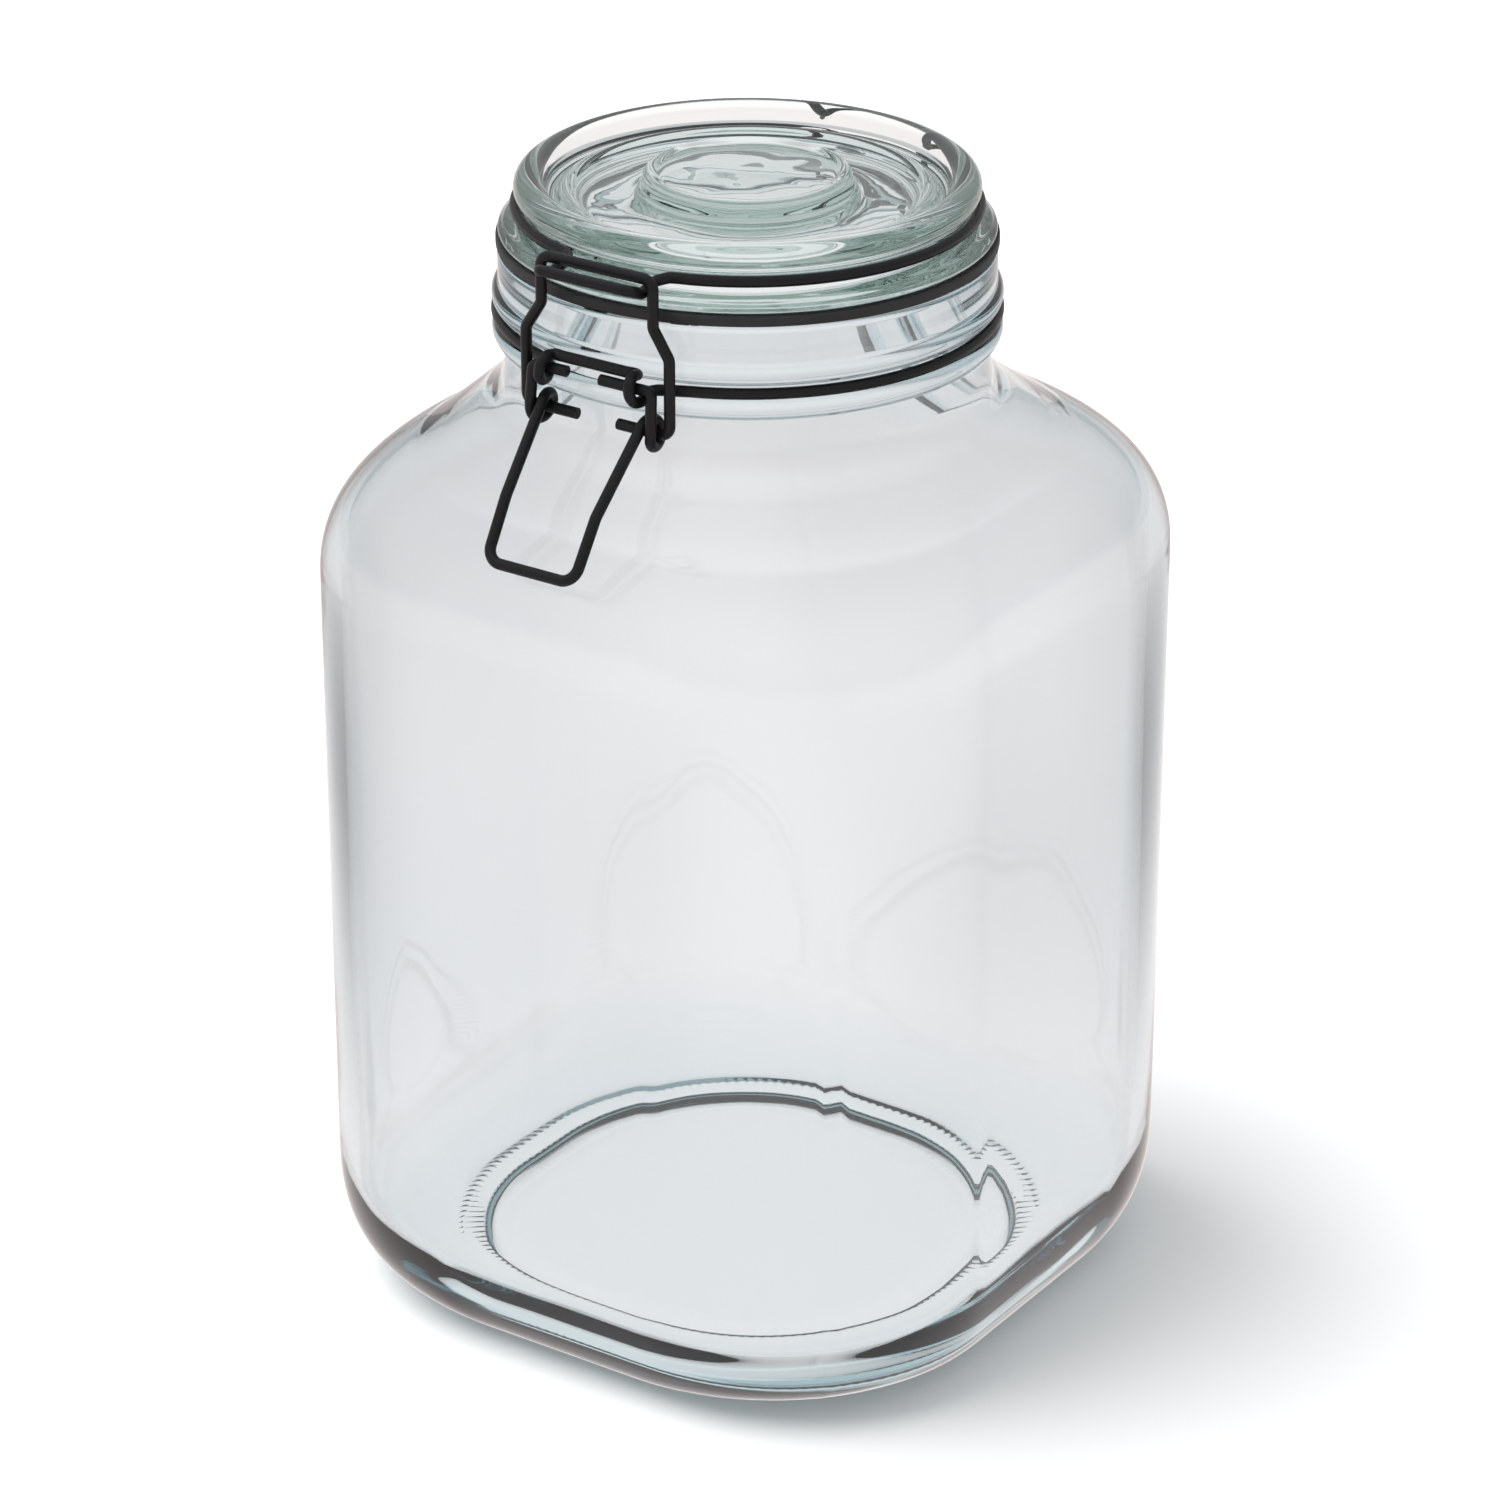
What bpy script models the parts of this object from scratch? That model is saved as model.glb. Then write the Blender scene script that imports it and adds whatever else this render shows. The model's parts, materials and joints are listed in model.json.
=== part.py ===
"""Bail clamp jar: a square glass storage jar whose glass lid is hinged and clamped by bent wire.

The glass is modelled from rounded-square and round cross-sections that share one set of ray angles, and each
wire is a beveled curve along the centre line of the bend. Dimensions are in millimetres and become metres
when a mesh or curve is made. +Z is up, the origin is at the middle of the base, and the clasp faces -Y.
"""

from math import cos, hypot, pi, radians, sin, sqrt

import bmesh
import bpy
from mathutils import Vector

MM = 0.001
RAYS = 48
GAP = 0.3

# Glass body: a rounded square that turns round towards the neck.
BODY_HALF = 83.4
BODY_CORNER = 54.0
BASE_HALF = 64.0
BASE_CORNER = 56.0
BEARING_WIDTH = 7.0
PUNT_DEPTH = 1.6
PUNT_RUN = 3.0
HEEL_HEIGHT = 30.5
HEEL_POWER = 2.6
SHOULDER_START = 173.4
SHOULDER_TURN = (83.4, 192.9)
SHOULDER_BREAK = (67.2, 201.8)
SHOULDER_END = (56.4, 212.8)
ROUNDING_POWER = 3.6
NECK_RADIUS = 53.4
NECK_LOW = 219.5
WALL = 4.5
FLOOR_TOP = 7.5
INNER_HEEL = 22.0
INNER_HEEL_POWER = 2.4
INNER_FOOT_INSET = 4.0

# Finish: two beads with the wire groove between them, then the sealing lip.
NECK_FLARE = (54.1, 216.3)
BEAD_MAJOR = 53.5
BEAD_MINOR = 2.5
LOWER_BEAD_Z = 228.2
UPPER_BEAD_Z = 235.9
GROOVE_TURN = 97
BEAD_END_TURN = 64
LIP_LOW = (54.6, 239.0)
LIP_RADIUS = 54.6
LIP_TOP = 246.6
LIP_ROUND = 1.4
MOUTH_RADIUS = 48.2
MOUTH_DEPTH = 20.0

# Gasket: a flat rubber ring between lip and lid.
GASKET_OUTER = 54.9
GASKET_INNER = 47.4
GASKET_BOTTOM = LIP_TOP + GAP
GASKET_TOP = 249.2

# Lid: flange, wire groove, rolled rim, a ridge ring and a centre boss, and a plug that sits in the mouth.
# The lists of (r, z) run from the middle of the underside round to the middle of the top.
FLANGE_BOTTOM = GASKET_TOP + GAP
FLANGE_RADIUS = 54.4
FLANGE_ROUND = 1.0
RIM_MAJOR = 47.5
RIM_MINOR = 3.4
RIM_Z = 259.6
RIM_TURNS = (-60, 170)
RECESS_Z = 251.4
PLUG = [(37.5, RECESS_Z), (39.5, 249.4), (40.5, 244.8), (43.9, 244.8), (44.9, 245.8), (46.2, FLANGE_BOTTOM)]
LID_SLOPE = [(53.0, 252.1), (50.2, 253.2), (48.7, 254.3), (48.7, 256.2)]
LID_RIDGE = [(42.6, 257.4), (39.6, 259.2), (36.6, 257.6)]
LID_BOSS = [(26.0, 257.6), (23.6, 258.8), (23.0, 260.6), (21.2, 262.0)]
BOSS_Z = 262.2

# Wire work. Every bail is bent from the same wire.
WIRE = 2.5
NECK_WIRE_RADIUS = 54.9
NECK_WIRE_Z = 232.1
LID_WIRE_RADIUS = 50.5
LID_WIRE_Z = 255.5
EYE_RADIUS = 2.9
EYE_X = 11.7
EYE_ADVANCE = 2.0
EYE_TURNS = (60, 330)
BRIDGE = [(0, -57.9, 236.2), (8.1, -57.9, 236.2), (9.5, -57.7, 236.2)]
EYE_EXIT = [(13.9, -54.9, 232.3), (15.7, -53.2, 232.1)]
RING_START = 22.5
PIVOT_Y = 58.8
PIVOT_Z = 233.4

# Lever: pins in the front eyes, short links, a coil round each yoke pin, and the finger loop.
LEVER_PIN_ENDS = (-6.4, 2.3)
LINK_X = 15.3
LINK_LOW = (-59.6, 225.2)
LINK_BEND = 1.5
CRANK = (-56.7, 223.4)
COIL_TURNS = (180, 495)
COIL_OUTER_X = 15.6
COIL_INNER_X = 12.9
LOOP_BEND = (11.6, -74.2, 209.3)
LOOP_END = (11.3, -82.1, 197.0)
LOOP_BEND_RADIUS = 3.6

# Yoke: pins in the lever's coils, legs that step inwards, and the bar that holds the catch down.
YOKE_PIN_END = 5.3
YOKE_LOW_X = 18.5
YOKE_TOP_X = 14.4
YOKE_STEP = (240.5, 246.8)
YOKE_TOP = (-56.7, 257.4)
YOKE_BEND = 2.4

# Catch: the front bend of the lid wire, which the yoke's bar sits behind.
CATCH_X = 11.5
CATCH_DIP = (-56.6, 253.9)
CATCH_BAR = (-62.3, 256.3)
CATCH_ROOT = [(11.5, -51.5, 255.2), (13.1, -48.9, 255.5), (15.1, -48.1, 255.5)]
CATCH_BEND = 1.9

# Hinge: the lid wire's rear legs, which turn in through the rear eyes.
HINGE_LEG_X = 16.0
HINGE_LEG = [(16.3, 49.4, 255.4), (16.0, 56.6, 254.3), (16.0, 58.8, 244.0)]
HINGE_PIN_END = 8.0
HINGE_BEND = 2.2

GLASS = (0.86, 0.91, 0.89, 1.0)
BLACK = (0.012, 0.012, 0.013, 1.0)
RUBBER = (0.018, 0.018, 0.019, 1.0)


def clear_scene():
    for obj in list(bpy.data.objects):
        bpy.data.objects.remove(obj, do_unlink=True)


def make_material(name, colour, roughness, transmission=0.0):
    material = bpy.data.materials.new(name)
    material.use_nodes = True
    shader = material.node_tree.nodes["Principled BSDF"]
    shader.inputs["Base Color"].default_value = colour
    shader.inputs["Roughness"].default_value = roughness
    shader.inputs["Transmission Weight"].default_value = transmission
    shader.inputs["Metallic"].default_value = 0.0
    material.diffuse_color = colour
    return material


def make_empty(name, location):
    empty = bpy.data.objects.new(name, None)
    empty.empty_display_size = 10 * MM
    empty.location = Vector(location) * MM
    bpy.context.scene.collection.objects.link(empty)
    return empty


def place(name, data, material, origin, parent, parent_origin):
    """Links an object whose data is relative to origin, both in millimetres from the base."""
    data.materials.append(material)
    obj = bpy.data.objects.new(name, data)
    obj.parent = parent
    obj.location = (Vector(origin) - Vector(parent_origin)) * MM
    bpy.context.scene.collection.objects.link(obj)
    return obj


def ray_length(half, corner, angle):
    """Distance from the middle to a rounded square's edge along a ray."""
    turn = angle % (pi / 2)
    turn = min(turn, pi / 2 - turn)
    corner = min(corner, half)
    if half * sin(turn) <= (half - corner) * cos(turn):
        return half / cos(turn)
    centre = sqrt(2) * (half - corner)
    off = pi / 4 - turn
    return centre * cos(off) + sqrt(corner**2 - (centre * sin(off)) ** 2)


def section(half, corner, z):
    angles = [2 * pi * i / RAYS for i in range(RAYS)]
    return [
        Vector((cos(a) * ray_length(half, corner, a), sin(a) * ray_length(half, corner, a), z))
        for a in angles
    ]


def skin(name, sections, low_pole, high_pole):
    """Closed surface through sections, ordered anticlockwise seen from above, from the outer foot inwards.

    A pole closes each end. Without poles the last section joins the first.
    """
    mesh = bpy.data.meshes.new(name)
    surface = bmesh.new()
    rings = [[surface.verts.new(point * MM) for point in ring] for ring in sections]
    pairs = list(zip(rings, rings[1:]))
    if low_pole is None:
        pairs.append((rings[-1], rings[0]))
    for low, high in pairs:
        for i in range(RAYS):
            j = (i + 1) % RAYS
            surface.faces.new((low[i], low[j], high[j], high[i]))
    for pole, ring in ((low_pole, rings[0]), (high_pole, rings[-1])):
        if pole is None:
            continue
        tip = surface.verts.new(Vector((0, 0, pole)) * MM)
        for i in range(RAYS):
            surface.faces.new((tip, ring[i], ring[(i + 1) % RAYS]))
    bmesh.ops.recalc_face_normals(surface, faces=surface.faces)
    surface.to_mesh(mesh)
    surface.free()
    mesh.shade_smooth()
    mesh.set_sharp_from_angle(angle=radians(40))
    return mesh


def arc(centre, radius, start, end, steps):
    """Points (r, z) on an arc in the profile plane. Angles are in degrees from the outward direction."""
    turns = [radians(start + (end - start) * i / steps) for i in range(steps + 1)]
    return [(centre[0] + radius * cos(t), centre[1] + radius * sin(t)) for t in turns]


def round_sections(profile):
    return [section(radius, radius, z) for radius, z in profile]


def shoulder_curve(inset, steps):
    """(half, z) up the shoulder: a quadratic curve off the wall, then a straight slope to the neck."""
    start = (BODY_HALF, SHOULDER_START)
    curve = []
    for i in range(steps + 1):
        t = i / steps
        weights = ((1 - t) ** 2, 2 * t * (1 - t), t**2)
        corners = (start, SHOULDER_TURN, SHOULDER_BREAK)
        curve.append(tuple(sum(w * p[k] for w, p in zip(weights, corners)) for k in (0, 1)))
    curve.append(SHOULDER_END)
    return [offset(curve, i, inset) for i in range(len(curve))]


def offset(curve, i, inset):
    before = curve[max(i - 1, 0)]
    after = curve[min(i + 1, len(curve) - 1)]
    along = (after[0] - before[0], after[1] - before[1])
    size = hypot(*along)
    return curve[i][0] - inset * along[1] / size, curve[i][1] + inset * along[0] / size


def shoulder_corner(half):
    """The corner radius grows to the half width, so that the section ends as a circle."""
    share = min(max((BODY_HALF - half) / (BODY_HALF - SHOULDER_END[0]), 0), 1)
    return BODY_CORNER + (half - BODY_CORNER) * share**ROUNDING_POWER


def heel(half, corner, foot_half, foot_corner, bottom, height, steps, power=2.0):
    """Quarter ellipse, or a squarer superellipse, from the foot outline up to the wall."""
    sections = []
    for i in range(steps + 1):
        turn = pi / 2 * i / steps
        out = sin(turn) ** (2 / power)
        sections.append(
            section(
                foot_half + (half - foot_half) * out,
                foot_corner + (corner - foot_corner) * out,
                bottom + height * (1 - max(cos(turn), 0) ** (2 / power)),
            )
        )
    return sections


def outer_glass():
    flat = BASE_HALF - BEARING_WIDTH
    flat_corner = BASE_CORNER - BEARING_WIDTH
    sections = [section(flat - PUNT_RUN, flat_corner - PUNT_RUN, PUNT_DEPTH), section(flat, flat_corner, 0)]
    sections += heel(BODY_HALF, BODY_CORNER, BASE_HALF, BASE_CORNER, 0, HEEL_HEIGHT, 8, HEEL_POWER)
    for half, z in shoulder_curve(0, 6):
        sections.append(section(half, shoulder_corner(half), z))
    return sections + round_sections(finish_profile())


def finish_profile():
    profile = [NECK_FLARE, (NECK_RADIUS, NECK_LOW)]
    profile += arc((BEAD_MAJOR, LOWER_BEAD_Z), BEAD_MINOR, -90, GROOVE_TURN, 6)
    profile += arc((BEAD_MAJOR, UPPER_BEAD_Z), BEAD_MINOR, -GROOVE_TURN, BEAD_END_TURN, 6)
    profile.append(LIP_LOW)
    profile += arc((LIP_RADIUS - LIP_ROUND, LIP_TOP - LIP_ROUND), LIP_ROUND, 0, 90, 3)
    return profile


def inner_glass():
    profile = arc((MOUTH_RADIUS + LIP_ROUND, LIP_TOP - LIP_ROUND), LIP_ROUND, 90, 180, 2)
    profile.append((MOUTH_RADIUS, LIP_TOP - MOUTH_DEPTH))
    profile.append((NECK_RADIUS - WALL, NECK_LOW - 1))
    sections = round_sections(profile)
    for half, z in reversed(shoulder_curve(WALL, 5)):
        sections.append(section(half, shoulder_corner(half + WALL) - WALL, z))
    inner_half = BODY_HALF - WALL
    inner_corner = BODY_CORNER - WALL
    foot_half = BASE_HALF - INNER_FOOT_INSET
    foot_corner = BASE_CORNER - INNER_FOOT_INSET
    foot = heel(
        inner_half, inner_corner, foot_half, foot_corner, FLOOR_TOP, INNER_HEEL, 7, INNER_HEEL_POWER
    )
    return sections + foot[::-1]


def make_jar(material):
    sections = outer_glass() + inner_glass()
    mesh = skin("jar_body", sections, PUNT_DEPTH, FLOOR_TOP)
    return place("jar_body", mesh, material, (0, 0, 0), None, (0, 0, 0))


def lid_profile():
    """(r, z) from the middle of the underside out and up to the middle of the top."""
    edge = (FLANGE_RADIUS - FLANGE_ROUND, FLANGE_BOTTOM + FLANGE_ROUND)
    flange = arc(edge, FLANGE_ROUND, -90, 45, 3)
    rim = arc((RIM_MAJOR, RIM_Z), RIM_MINOR, *RIM_TURNS, 8)
    return PLUG + flange + LID_SLOPE + rim + LID_RIDGE + LID_BOSS


def make_lid(material, hinge, origin):
    mesh = skin("lid", round_sections(lid_profile()), RECESS_Z, BOSS_Z)
    return place_hinged("lid", mesh, material, hinge, origin)


def make_gasket(material, hinge, origin):
    middle = (GASKET_TOP + GASKET_BOTTOM) / 2
    profile = [
        (GASKET_OUTER - 0.4, GASKET_BOTTOM),
        (GASKET_OUTER, middle),
        (GASKET_OUTER - 0.4, GASKET_TOP),
        (GASKET_INNER, GASKET_TOP),
        (GASKET_INNER, GASKET_BOTTOM),
    ]
    mesh = skin("gasket", round_sections(profile), None, None)
    return place_hinged("gasket", mesh, material, hinge, origin)


def place_hinged(name, mesh, material, hinge, origin):
    """Places a mesh built about the base so that its object origin is on the hinge axis."""
    for vertex in mesh.vertices:
        vertex.co -= Vector(origin) * MM
    return place(name, mesh, material, origin, hinge, origin)


def make_wire(name, points, material, origin, parent, parent_origin, cyclic=False):
    curve = bpy.data.curves.new(name, "CURVE")
    curve.dimensions = "3D"
    curve.twist_mode = "MINIMUM"
    curve.bevel_depth = WIRE / 2 * MM
    curve.bevel_resolution = 2
    curve.use_fill_caps = not cyclic
    spline = curve.splines.new("POLY")
    spline.points.add(len(points) - 1)
    for target, point in zip(spline.points, points):
        target.co = (*((Vector(point) - Vector(origin)) * MM), 1)
    spline.use_cyclic_u = cyclic
    return place(name, curve, material, origin, parent, parent_origin)


def fillet(points, radius, steps=4):
    """Rounds each inner corner of a polyline with an arc of at most the given radius."""
    line = vectors(points)
    rounded = [line[0]]
    for before, corner, after in zip(line, line[1:], line[2:]):
        back = (before - corner).normalized()
        ahead = (after - corner).normalized()
        half_turn = back.angle(ahead) / 2
        cut = radius * cos(half_turn) / sin(half_turn)
        cut = min(cut, 0.48 * (before - corner).length, 0.48 * (after - corner).length)
        size = cut * sin(half_turn) / cos(half_turn)
        centre = corner + (back + ahead).normalized() * hypot(cut, size)
        first = (corner + back * cut - centre).normalized()
        last = (corner + ahead * cut - centre).normalized()
        rounded += [centre + first.slerp(last, i / steps) * size for i in range(steps + 1)]
    rounded.append(line[-1])
    return rounded


def coil(centre, x_start, x_end, start, end, steps):
    """Turns round an axis along X. Angles are in degrees, from the jar's side of the axis over the top."""
    points = []
    for i in range(steps + 1):
        share = i / steps
        turn = radians(start + (end - start) * share)
        x = x_start + (x_end - x_start) * share
        points.append(Vector((x, centre[0] + EYE_RADIUS * cos(turn), centre[1] + EYE_RADIUS * sin(turn))))
    return points


def on_circle(radius, z, start, end):
    """Points on a horizontal circle at the ray angles from start to end, in degrees from the clasp side."""
    step = 360 / RAYS
    first, last = round(start / step), round(end / step)
    angles = [radians(step * i - 90) for i in range(first, last + 1)]
    return [Vector((radius * cos(a), radius * sin(a), z)) for a in angles]


def vectors(points):
    return [Vector(point) for point in points]


def mirrored(points, x=1, y=1):
    return [Vector((point.x * x, point.y * y, point.z)) for point in points]


def front_eye():
    """The clasp-side quarter of the neck wire, from the middle of the bridge through an eye to the side."""
    half_advance = EYE_ADVANCE / 2
    turns = coil((-PIVOT_Y, PIVOT_Z), EYE_X - half_advance, EYE_X + half_advance, *EYE_TURNS, 10)
    ring = on_circle(NECK_WIRE_RADIUS, NECK_WIRE_Z, RING_START, 90)
    return vectors(BRIDGE) + turns + vectors(EYE_EXIT) + ring


def make_neck_wire(material):
    quarter = front_eye()
    right = quarter + mirrored(quarter, y=-1)[-2::-1]
    loop = right + mirrored(right, x=-1)[-2:0:-1]
    return make_wire("neck_wire", loop, material, (0, 0, 0), None, (0, 0, 0), cyclic=True)


def lid_wire_half():
    """Half of the lid wire, from the middle of the catch bar round the lid to the hinge pin."""
    bar = [(0, *CATCH_BAR), (CATCH_X, *CATCH_BAR), (CATCH_X, *CATCH_DIP)]
    ring = on_circle(LID_WIRE_RADIUS, LID_WIRE_Z, RING_START, 180 - RING_START)
    pin = [(HINGE_LEG_X, PIVOT_Y, PIVOT_Z), (HINGE_PIN_END, PIVOT_Y, PIVOT_Z)]
    leg = fillet([ring[-1], *HINGE_LEG, *pin], HINGE_BEND)
    return fillet(bar + CATCH_ROOT, CATCH_BEND) + ring + leg[1:]


def make_lid_wire(material, hinge, origin):
    half = lid_wire_half()
    points = mirrored(half, x=-1)[:0:-1] + half
    return make_wire("lid_wire", points, material, origin, hinge, origin)


def lever_half(pin_end):
    """Half of the lever on the +X side, from the pin's end to the end of the finger loop's side."""
    pin = [(pin_end, -PIVOT_Y, PIVOT_Z), (LINK_X, -PIVOT_Y, PIVOT_Z)]
    link = fillet([*pin, (COIL_OUTER_X, *LINK_LOW)], LINK_BEND)
    turns = coil(CRANK, COIL_OUTER_X, COIL_INNER_X, *COIL_TURNS, 12)
    return link + turns + vectors([LOOP_BEND, LOOP_END])


def make_lever(material, origin):
    """The last three points of each half are the corners of the finger loop, which are rounded."""
    left_pin, right_pin = LEVER_PIN_ENDS
    left = mirrored(lever_half(-left_pin), x=-1)
    right = lever_half(right_pin)[::-1]
    loop = fillet(left[-3:] + right[:3], LOOP_BEND_RADIUS, 5)
    return make_wire("lever", left[:-3] + loop + right[3:], material, origin, None, (0, 0, 0))


def make_yoke(material, origin, lever, lever_origin):
    step_low, step_high = YOKE_STEP
    half = [
        (0, *YOKE_TOP),
        (YOKE_TOP_X, *YOKE_TOP),
        (YOKE_TOP_X, YOKE_TOP[0], step_high),
        (YOKE_LOW_X, CRANK[0], step_low),
        (YOKE_LOW_X, *CRANK),
        (YOKE_PIN_END, *CRANK),
    ]
    right = fillet(half, YOKE_BEND)
    points = mirrored(right, x=-1)[:0:-1] + right[1:]
    return make_wire("yoke", points, material, origin, lever, lever_origin)


def build():
    clear_scene()
    glass = make_material("clear_glass", GLASS, 0.03, transmission=1.0)
    lid_glass = make_material("lid_glass", GLASS, 0.04, transmission=1.0)
    rubber = make_material("black_rubber", RUBBER, 0.6)
    painted = {
        name: make_material(f"black_painted_{name}", BLACK, 0.38)
        for name in ("neck_wire", "lid_wire", "lever", "yoke")
    }
    hinge_axis = (0, PIVOT_Y, PIVOT_Z)
    lever_axis = (0, -PIVOT_Y, PIVOT_Z)
    crank_axis = (0, *CRANK)
    make_jar(glass)
    make_neck_wire(painted["neck_wire"])
    hinge = make_empty("lid_hinge", hinge_axis)
    make_lid(lid_glass, hinge, hinge_axis)
    make_gasket(rubber, hinge, hinge_axis)
    make_lid_wire(painted["lid_wire"], hinge, hinge_axis)
    lever = make_lever(painted["lever"], lever_axis)
    make_yoke(painted["yoke"], crank_axis, lever, lever_axis)


build()
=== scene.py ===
"""Looks of a bail clamp jar: pressed glass, satin black wire and a rubber gasket.

The glass and the wires are built again at a finer resolution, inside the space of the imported
model's nodes. Shapes are in millimetres and become metres when a mesh or curve is made. Materials,
floor and camera are in metres. +Z is up and the clasp faces -Y.
"""

import json
from math import cos, hypot, pi, radians, sin, sqrt

import bmesh
import bpy
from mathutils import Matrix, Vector, noise


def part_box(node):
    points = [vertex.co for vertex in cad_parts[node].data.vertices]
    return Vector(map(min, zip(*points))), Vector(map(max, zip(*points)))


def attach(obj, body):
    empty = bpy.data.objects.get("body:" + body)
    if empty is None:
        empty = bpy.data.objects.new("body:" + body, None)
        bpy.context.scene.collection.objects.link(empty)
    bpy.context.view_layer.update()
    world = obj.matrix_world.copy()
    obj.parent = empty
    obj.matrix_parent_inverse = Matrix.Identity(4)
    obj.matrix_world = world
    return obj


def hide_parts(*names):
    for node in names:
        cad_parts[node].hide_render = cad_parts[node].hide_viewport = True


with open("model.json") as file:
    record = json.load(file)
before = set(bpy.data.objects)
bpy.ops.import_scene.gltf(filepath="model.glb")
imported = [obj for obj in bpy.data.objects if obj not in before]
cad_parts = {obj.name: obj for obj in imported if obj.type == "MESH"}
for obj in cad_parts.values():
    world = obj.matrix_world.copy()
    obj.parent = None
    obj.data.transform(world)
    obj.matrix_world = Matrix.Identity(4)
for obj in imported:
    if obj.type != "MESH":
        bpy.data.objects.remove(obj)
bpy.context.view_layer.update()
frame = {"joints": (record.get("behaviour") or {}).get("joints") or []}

MM = 0.001


def low(node, axis):
    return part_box(node)[0][axis] / MM


def high(node, axis):
    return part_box(node)[1][axis] / MM


# Glass body: a rounded square that turns round towards the neck.
BODY_RAYS = 320
BODY_HALF = high("jar_body", 0)
BODY_CORNER = 54.0
BASE_HALF = 64.0
BASE_CORNER = 56.0
BEARING_WIDTH = 7.0
BEARING_EASE = 1.2
PUNT_DEPTH = 1.6
PUNT_BREAK = 0.6
PUNT_RUN = 3.0
PUNT_STEP = 8.0
HEEL_HEIGHT = 30.5
HEEL_POWER = 2.6
SHOULDER_START = 173.4
SHOULDER_TURN = (BODY_HALF, 192.9)
SHOULDER_BREAK = (67.2, 201.8)
SHOULDER_END = (56.4, 212.8)
SLOPE_STEPS = 4
ROUNDING_POWER = 3.6
NECK_RADIUS = 53.4
NECK_LOW = 219.5
WALL = 4.5
FLOOR_TOP = 7.5
FLOOR_STEP = (8.0, 7.0)
INNER_FOOT = 4.0
INNER_HEEL = 22.0
INNER_HEEL_POWER = 2.4

# Marks of pressing: knurls across the bearing ring, a seam up two corners, and an uneven inside.
KNURL_START = 0.8
KNURL_DEPTH = 0.7
SEAM_HEIGHT = 0.14
SEAM_ANGLES = (135, 315)
WOBBLE_DEPTH = 0.2
WOBBLE_SIZE = 45.0
HEEL_WOBBLE = 1.6
HEEL_WOBBLE_SIZE = 26.0
HEEL_WOBBLE_REACH = 8.0

# Neck and lip: two beads with the wire groove between them, then the sealing lip.
BEAD_MAJOR = 53.5
BEAD_MINOR = 2.5
LOWER_BEAD_Z = 228.2
UPPER_BEAD_Z = 235.9
GROOVE_TURN = 97
BEAD_END_TURN = 64
NECK_FLARE = (0.7, 3.2)
LIP_RADIUS = 54.6
LIP_STEP = 0.6
LIP_TOP = high("jar_body", 2)
LIP_ROUND = 1.4
MOUTH_RADIUS = 48.2
MOUTH_DEPTH = 20.0

# Gasket: a flat rubber ring between lip and lid.
GASKET_INNER = 47.4
GASKET_EASE = 0.45

# Lid: flange, wire groove, rolled rim, a ridge ring and a centre boss, and a plug in the mouth.
LID_RAYS = 192
GAP = 0.3
FLANGE_BOTTOM = high("gasket", 2) + GAP
FLANGE_RADIUS = high("lid", 0)
FLANGE_ROUND = 1.0
LID_NECK_RADIUS = 48.7
RIM_MAJOR = 47.5
RIM_MINOR = 3.4
RIM_TURNS = (-60, 165)
RIM_Z = high("lid", 2) - RIM_MINOR
VALLEY_RADIUS = 42.6
VALLEY_Z = 257.4
RIDGE_RADIUS = 39.6
RIDGE_Z = 259.2
DISH_Z = 257.6
BOSS_RADIUS = 23.0
BOSS_Z = 262.9
BOSS_HOLLOW = 1.3
BOSS_WALL = 3.5
BOSS_RIPPLE = 0.16
BOSS_RIPPLE_SIZE = 9.0
PLUG_TOP_RADIUS = 46.2
PLUG_RADIUS = 44.5
PLUG_BOTTOM = low("lid", 2)
RECESS_RADIUS = 39.5
RECESS_Z = 251.4
RECESS_RIPPLE = 0.25
RECESS_RIPPLE_SIZE = 18.0
RECESS_RIPPLE_SEED = Vector((2, 5, 9))

# Wire work. Every bail is bent from the same wire, and the eyes and coils have the same radius.
# BRIDGE is (y, z) from the pivot. BRIDGE_ENDS and EYE_EXIT step off from the middle of an eye.
WIRE = 2.5
WIRE_STEP = 3.0
FILLET_SHARE = 0.48
NECK_WIRE_RADIUS = 54.9
NECK_WIRE_Z = 232.1
LID_WIRE_RADIUS = 50.5
LID_WIRE_Z = 255.5
RING_START = 21
EYE_RADIUS = 2.9
EYE_X = 11.7
EYE_ADVANCE = 2.0
EYE_TURNS = (60, 330)
BRIDGE = (0.9, 2.8)
BRIDGE_ENDS = ((-3.6, 0.0), (-2.2, 0.2))
EYE_EXIT = ((2.2, -54.9, 0.2), (4.0, -53.2, 0.0))
JOINTS = {joint["name"]: joint for joint in frame["joints"]}
PIVOT_Y = JOINTS["lid_hinge"]["pos_m"][1] / MM
PIVOT_Z = JOINTS["lid_hinge"]["pos_m"][2] / MM

# Lever: pins in the front eyes, short links, a coil round each yoke pin, and the finger loop.
LEVER_PIN_ENDS = (-6.4, 2.3)
LINK_X = 15.3
LINK_LOW = (-59.6, 225.2)
LINK_BEND = 1.5
CRANK = tuple(value / MM for value in JOINTS["yoke_pivot"]["pos_m"][1:])
COIL_TURNS = (180, 495)
COIL_OUTER_X = 15.6
COIL_INNER_X = 12.9
LOOP_BEND = (11.6, -74.2, 209.3)
LOOP_END = (11.3, -82.1, 197.0)
LOOP_BEND_RADIUS = 3.6

# Yoke: pins in the lever's coils, legs that step inwards, and the bar that holds the catch down.
YOKE_PIN_END = 5.3
YOKE_LOW_X = 18.5
YOKE_TOP_X = 14.4
YOKE_STEP = (240.5, 246.8)
YOKE_TOP = (-56.7, 257.4)
YOKE_BEND = 2.4

# Catch: the front bend of the lid wire, which the yoke's bar sits behind.
CATCH_X = 11.5
CATCH_DIP = (-56.6, 253.9)
CATCH_BAR = (-62.3, 256.3)
CATCH_ROOT = ((0.0, -51.5, -0.3), (1.6, -48.9, 0.0), (3.6, -48.1, 0.0))
CATCH_BEND = 1.9

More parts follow.
